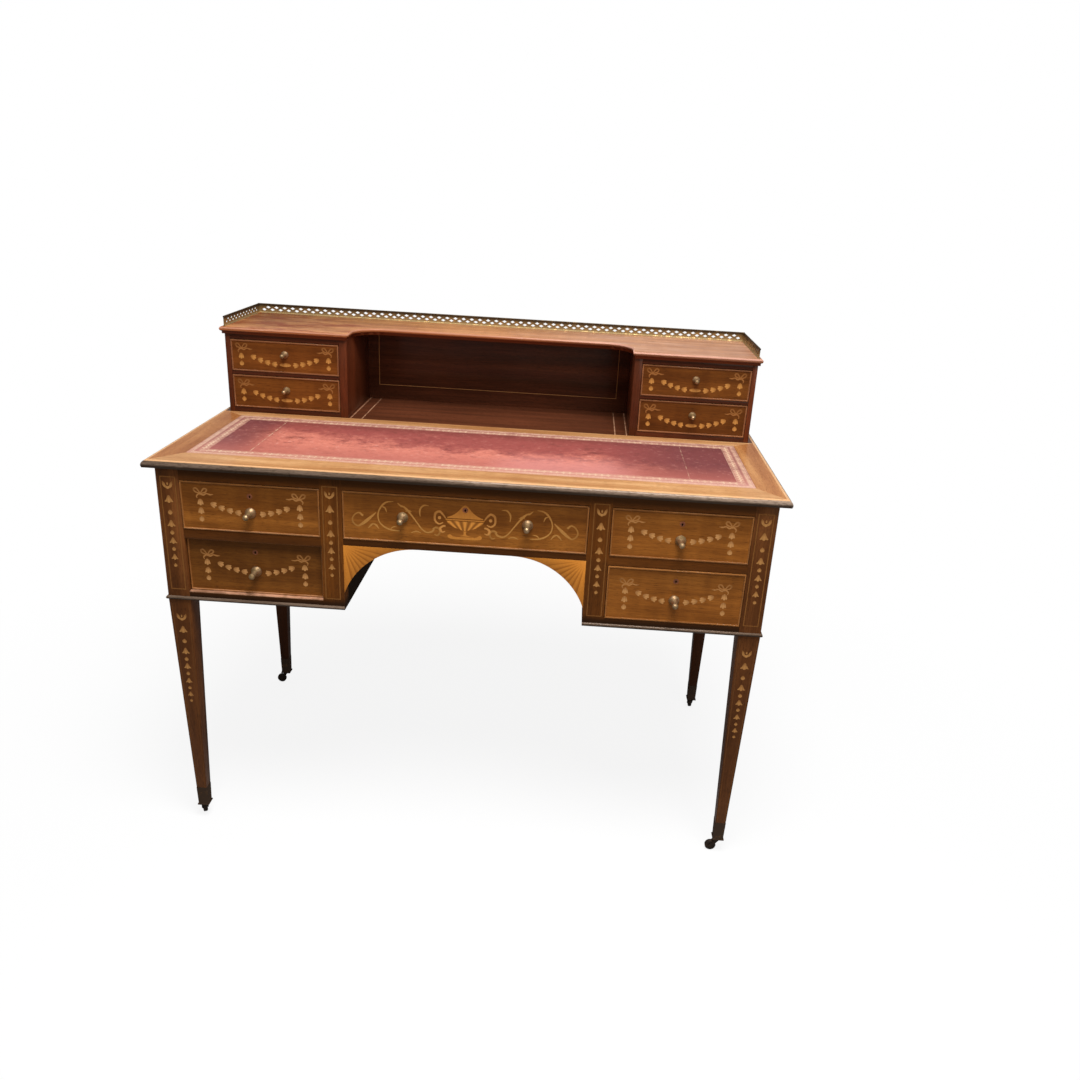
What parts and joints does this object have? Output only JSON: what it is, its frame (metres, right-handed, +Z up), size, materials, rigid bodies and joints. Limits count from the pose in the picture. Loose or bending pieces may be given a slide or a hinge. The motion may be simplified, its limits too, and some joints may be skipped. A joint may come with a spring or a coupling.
{
  "type": "kneehole desk",
  "caption": "Inlaid kneehole writing desk on tapered legs and castors, with a leather top, frieze drawers round an arch and a raised back of small drawers under a galleried shelf.",
  "frame": {"origin": "centre of the footprint on the floor, halfway between the knobs' front and the back edge of the top", "axes": "+Z up, front of the desk towards -Y, width along X"},
  "size_m": [1.126, 0.621, 0.9555],
  "materials": {
    "mahogany": "french polished",
    "drawer_veneer": "french polished veneer with lighter inlay",
    "crossbanding": "french polished crossbanded veneer",
    "edge_wood": "dark polished",
    "dark_wood": "dark polished",
    "satinwood": "polished satinwood rays",
    "plain_wood": "unpolished",
    "red_leather": "gilt tooled, faded",
    "brass": "lacquered, worn",
    "old_brass": "tarnished",
    "steel": "dull"
  },
  "bodies": {
    "desk": {"desk_top": "mahogany", "top_edge_moulding": "edge_wood", "crossbanding": "crossbanding", "writing_leather": "red_leather", "front_left_leg": "mahogany", "front_right_leg": "mahogany", "back_left_leg": "mahogany", "back_right_leg": "mahogany", "bank_sides": "mahogany", "back_panels": "plain_wood", "front_frame": "mahogany", "arch_corners": "satinwood", "drawer_runners": "plain_wood", "foot_bead": "edge_wood", "shelf": "crossbanding", "raised_uprights": "mahogany", "raised_back": "dark_wood", "raised_boards": "mahogany", "gallery": "brass", "castor_cups": "old_brass"},
    "front_left_castor": {"front_left_castor": "old_brass"},
    "front_left_wheel": {"front_left_wheel": "old_brass"},
    "front_right_castor": {"front_right_castor": "old_brass"},
    "front_right_wheel": {"front_right_wheel": "old_brass"},
    "back_left_castor": {"back_left_castor": "old_brass"},
    "back_left_wheel": {"back_left_wheel": "old_brass"},
    "back_right_castor": {"back_right_castor": "old_brass"},
    "back_right_wheel": {"back_right_wheel": "old_brass"},
    "upper_left_drawer": {"upper_left_front": "drawer_veneer", "upper_left_box": "plain_wood", "upper_left_fittings": "brass"},
    "upper_left_bolt": {"upper_left_bolt": "steel"},
    "lower_left_drawer": {"lower_left_front": "drawer_veneer", "lower_left_box": "plain_wood", "lower_left_fittings": "brass"},
    "lower_left_bolt": {"lower_left_bolt": "steel"},
    "centre_drawer": {"centre_front": "drawer_veneer", "centre_box": "plain_wood", "centre_fittings": "brass"},
    "centre_bolt": {"centre_bolt": "steel"},
    "upper_right_drawer": {"upper_right_front": "drawer_veneer", "upper_right_box": "plain_wood", "upper_right_fittings": "brass"},
    "upper_right_bolt": {"upper_right_bolt": "steel"},
    "lower_right_drawer": {"lower_right_front": "drawer_veneer", "lower_right_box": "plain_wood", "lower_right_fittings": "brass"},
    "lower_right_bolt": {"lower_right_bolt": "steel"},
    "small_upper_left_drawer": {"small_upper_left_front": "drawer_veneer", "small_upper_left_box": "plain_wood", "small_upper_left_knob": "brass"},
    "small_lower_left_drawer": {"small_lower_left_front": "drawer_veneer", "small_lower_left_box": "plain_wood", "small_lower_left_knob": "brass"},
    "small_upper_right_drawer": {"small_upper_right_front": "drawer_veneer", "small_upper_right_box": "plain_wood", "small_upper_right_knob": "brass"},
    "small_lower_right_drawer": {"small_lower_right_front": "drawer_veneer", "small_lower_right_box": "plain_wood", "small_lower_right_knob": "brass"}
  },
  "joints": [
    {"name": "front_left_castor_swivel", "type": "hinge", "parent": "desk", "child": "front_left_castor", "pos_m": [-0.523, -0.2595, 0.0277], "axis": [0, 0, 1], "continuous": true},
    {"name": "front_left_wheel_spin", "type": "hinge", "parent": "front_left_castor", "child": "front_left_wheel", "pos_m": [-0.5295, -0.24824, 0.011], "axis": [-0.866, -0.5, 0], "continuous": true},
    {"name": "front_right_castor_swivel", "type": "hinge", "parent": "desk", "child": "front_right_castor", "pos_m": [0.523, -0.2595, 0.0277], "axis": [0, 0, 1], "continuous": true},
    {"name": "front_right_wheel_spin", "type": "hinge", "parent": "front_right_castor", "child": "front_right_wheel", "pos_m": [0.51, -0.2595, 0.011], "axis": [0, -1, 0], "continuous": true},
    {"name": "back_left_castor_swivel", "type": "hinge", "parent": "desk", "child": "back_left_castor", "pos_m": [-0.523, 0.2865, 0.0277], "axis": [0, 0, 1], "continuous": true},
    {"name": "back_left_wheel_spin", "type": "hinge", "parent": "back_left_castor", "child": "back_left_wheel", "pos_m": [-0.536, 0.2865, 0.011], "axis": [0, -1, 0], "continuous": true},
    {"name": "back_right_castor_swivel", "type": "hinge", "parent": "desk", "child": "back_right_castor", "pos_m": [0.523, 0.2865, 0.0277], "axis": [0, 0, 1], "continuous": true},
    {"name": "back_right_wheel_spin", "type": "hinge", "parent": "back_right_castor", "child": "back_right_wheel", "pos_m": [0.523, 0.2995, 0.011], "axis": [-1, 0, 0], "continuous": true},
    {"name": "upper_left_drawer_slide", "type": "slide", "parent": "desk", "child": "upper_left_drawer", "axis": [0, -1, 0], "range_m": [0, 0.4]},
    {"name": "upper_left_bolt_throw", "type": "slide", "parent": "upper_left_drawer", "child": "upper_left_bolt", "axis": [0, 0, 1], "range_m": [0, 0.006]},
    {"name": "lower_left_drawer_slide", "type": "slide", "parent": "desk", "child": "lower_left_drawer", "axis": [0, -1, 0], "range_m": [0, 0.4]},
    {"name": "lower_left_bolt_throw", "type": "slide", "parent": "lower_left_drawer", "child": "lower_left_bolt", "axis": [0, 0, 1], "range_m": [0, 0.006]},
    {"name": "centre_drawer_slide", "type": "slide", "parent": "desk", "child": "centre_drawer", "axis": [0, -1, 0], "range_m": [0, 0.4]},
    {"name": "centre_bolt_throw", "type": "slide", "parent": "centre_drawer", "child": "centre_bolt", "axis": [0, 0, 1], "range_m": [0, 0.006]},
    {"name": "upper_right_drawer_slide", "type": "slide", "parent": "desk", "child": "upper_right_drawer", "axis": [0, -1, 0], "range_m": [0, 0.4]},
    {"name": "upper_right_bolt_throw", "type": "slide", "parent": "upper_right_drawer", "child": "upper_right_bolt", "axis": [0, 0, 1], "range_m": [0, 0.006]},
    {"name": "lower_right_drawer_slide", "type": "slide", "parent": "desk", "child": "lower_right_drawer", "axis": [0, -1, 0], "range_m": [0, 0.4]},
    {"name": "lower_right_bolt_throw", "type": "slide", "parent": "lower_right_drawer", "child": "lower_right_bolt", "axis": [0, 0, 1], "range_m": [0, 0.006]},
    {"name": "small_upper_left_drawer_slide", "type": "slide", "parent": "desk", "child": "small_upper_left_drawer", "axis": [0, -1, 0], "range_m": [0, 0.14]},
    {"name": "small_lower_left_drawer_slide", "type": "slide", "parent": "desk", "child": "small_lower_left_drawer", "axis": [0, -1, 0], "range_m": [0, 0.14]},
    {"name": "small_upper_right_drawer_slide", "type": "slide", "parent": "desk", "child": "small_upper_right_drawer", "axis": [0, -1, 0], "range_m": [0, 0.14]},
    {"name": "small_lower_right_drawer_slide", "type": "slide", "parent": "desk", "child": "small_lower_right_drawer", "axis": [0, -1, 0], "range_m": [0, 0.14]}
  ]
}
